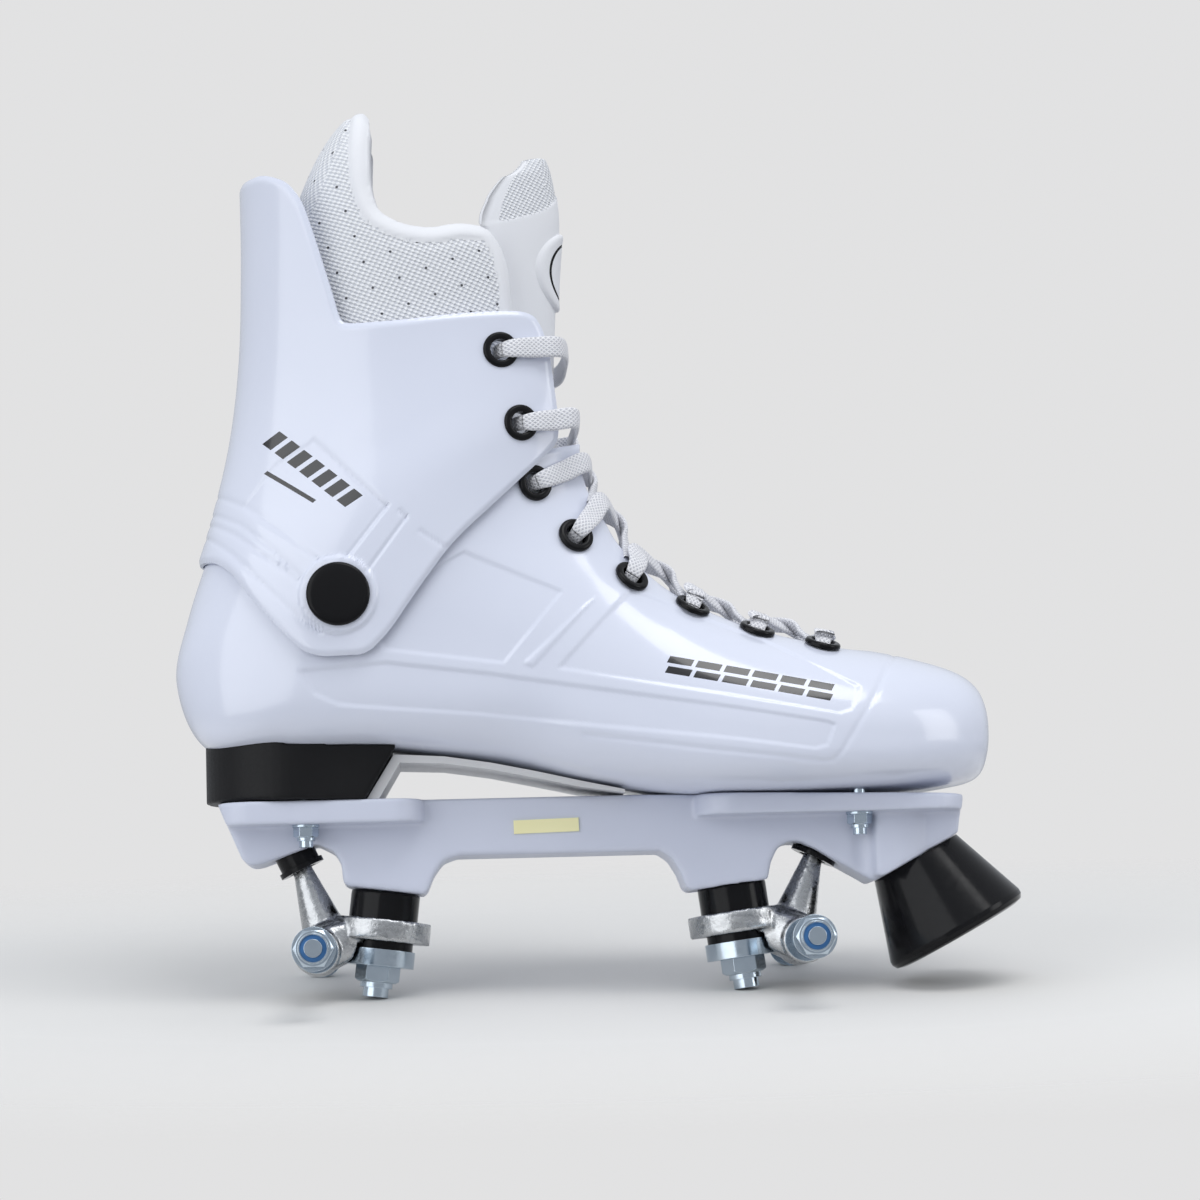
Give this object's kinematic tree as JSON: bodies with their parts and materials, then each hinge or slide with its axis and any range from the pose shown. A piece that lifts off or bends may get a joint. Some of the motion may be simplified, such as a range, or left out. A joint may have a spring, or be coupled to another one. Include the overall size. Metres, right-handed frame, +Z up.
{
  "type": "quad roller skate without wheels",
  "caption": "Quad roller skate with a moulded boot, hinged cuff, laced liner, nylon plate, steering trucks and toe stop; wheels not fitted.",
  "frame": {"origin": "centre of the bounding box's bottom face: the surface that the two kingpin ends stand on, under the middle of the skate", "axes": "+X to the toe, +Y to the skater's left (the medial side of this right skate), +Z up"},
  "size_m": [0.3127, 0.133, 0.3332],
  "materials": {
    "shell_plastic": "white polyurethane with a faint lavender tint, glossy",
    "liner_fabric": "white knitted mesh over foam",
    "lace_fabric": "flat white woven lace",
    "plate_plastic": "satin lavender-grey glass-filled nylon",
    "black_plastic": "glossy black plastic",
    "black_foam": "satin black",
    "black_rubber": "moulded black rubber",
    "footbed_foam": "pale insole",
    "silver_trim": "pale silver strip",
    "zinc_steel": "zinc plated, faintly blue",
    "cast_aluminium": "rough cast",
    "blue_nylon": "blue nylon locking ring",
    "pale_label": "blank pale yellow sticker",
    "natural_nylon": "natural nylon"
  },
  "bodies": {
    "boot": {"shell": "shell_plastic", "sole_strip": "silver_trim", "heel_block": "black_foam", "footbed": "footbed_foam", "liner_foot": "liner_fabric", "tongue_lower": "liner_fabric", "shell_eyelets": "black_plastic", "shell_laces": "lace_fabric", "pivot_shoulder_bolts": "zinc_steel", "plate": "plate_plastic", "mount_bolts": "zinc_steel", "mount_washers": "zinc_steel", "mount_nuts": "zinc_steel", "side_label": "pale_label", "kingpin_front": "zinc_steel", "upper_cushion_front": "black_rubber", "lower_cushion_front": "black_rubber", "cup_washer_front": "zinc_steel", "kingpin_nut_front": "zinc_steel", "pivot_cup_front": "black_plastic", "kingpin_rear": "zinc_steel", "upper_cushion_rear": "black_rubber", "lower_cushion_rear": "black_rubber", "cup_washer_rear": "zinc_steel", "kingpin_nut_rear": "zinc_steel", "pivot_cup_rear": "black_plastic", "toe_stop": "black_rubber", "toe_stop_bolt": "zinc_steel", "toe_stop_washer": "zinc_steel"},
    "cuff": {"cuff": "shell_plastic", "cuff_eyelets": "black_plastic", "cuff_laces": "lace_fabric", "liner_collar": "liner_fabric", "tongue_upper": "liner_fabric", "tongue_badge": "liner_fabric", "pivot_bushes": "natural_nylon", "pivot_caps": "black_plastic"},
    "front_truck": {"hanger_front": "cast_aluminium", "axle_front": "zinc_steel", "inner_washers_front": "zinc_steel"},
    "nut_front_right": {"axle_nut_front_right": "zinc_steel", "nut_insert_front_right": "blue_nylon", "outer_washer_front_right": "zinc_steel"},
    "nut_front_left": {"axle_nut_front_left": "zinc_steel", "nut_insert_front_left": "blue_nylon", "outer_washer_front_left": "zinc_steel"},
    "rear_truck": {"hanger_rear": "cast_aluminium", "axle_rear": "zinc_steel", "inner_washers_rear": "zinc_steel"},
    "nut_rear_right": {"axle_nut_rear_right": "zinc_steel", "nut_insert_rear_right": "blue_nylon", "outer_washer_rear_right": "zinc_steel"},
    "nut_rear_left": {"axle_nut_rear_left": "zinc_steel", "nut_insert_rear_left": "blue_nylon", "outer_washer_rear_left": "zinc_steel"}
  },
  "joints": [
    {"name": "cuff_flex", "type": "hinge", "parent": "boot", "child": "cuff", "pos_m": [-0.0953, 0, 0.1456], "axis": [0, 1, 0], "range_deg": [-3, 4], "stiffness_Nm_per_rad": 12, "deforming": ["shell_laces", "cuff_laces"]},
    {"name": "front_steer", "type": "hinge", "parent": "boot", "child": "front_truck", "pos_m": [0.08145, 0, 0.05451], "axis": [0.7338, 0, 0.6794], "range_deg": [-8, 8], "stiffness_Nm_per_rad": 15, "deforming": ["upper_cushion_front", "lower_cushion_front"]},
    {"name": "rear_steer", "type": "hinge", "parent": "boot", "child": "rear_truck", "pos_m": [-0.11425, 0, 0.05451], "axis": [-0.7338, 0, 0.6794], "range_deg": [-8, 8], "stiffness_Nm_per_rad": 15, "deforming": ["upper_cushion_rear", "lower_cushion_rear"]},
    {"name": "nut_front_right_off", "type": "slide", "parent": "front_truck", "child": "nut_front_right", "axis": [0, -1, 0], "range_m": [0, 0.042]},
    {"name": "nut_front_left_off", "type": "slide", "parent": "front_truck", "child": "nut_front_left", "axis": [0, 1, 0], "range_m": [0, 0.042]},
    {"name": "nut_rear_right_off", "type": "slide", "parent": "rear_truck", "child": "nut_rear_right", "axis": [0, -1, 0], "range_m": [0, 0.042]},
    {"name": "nut_rear_left_off", "type": "slide", "parent": "rear_truck", "child": "nut_rear_left", "axis": [0, 1, 0], "range_m": [0, 0.042]}
  ]
}
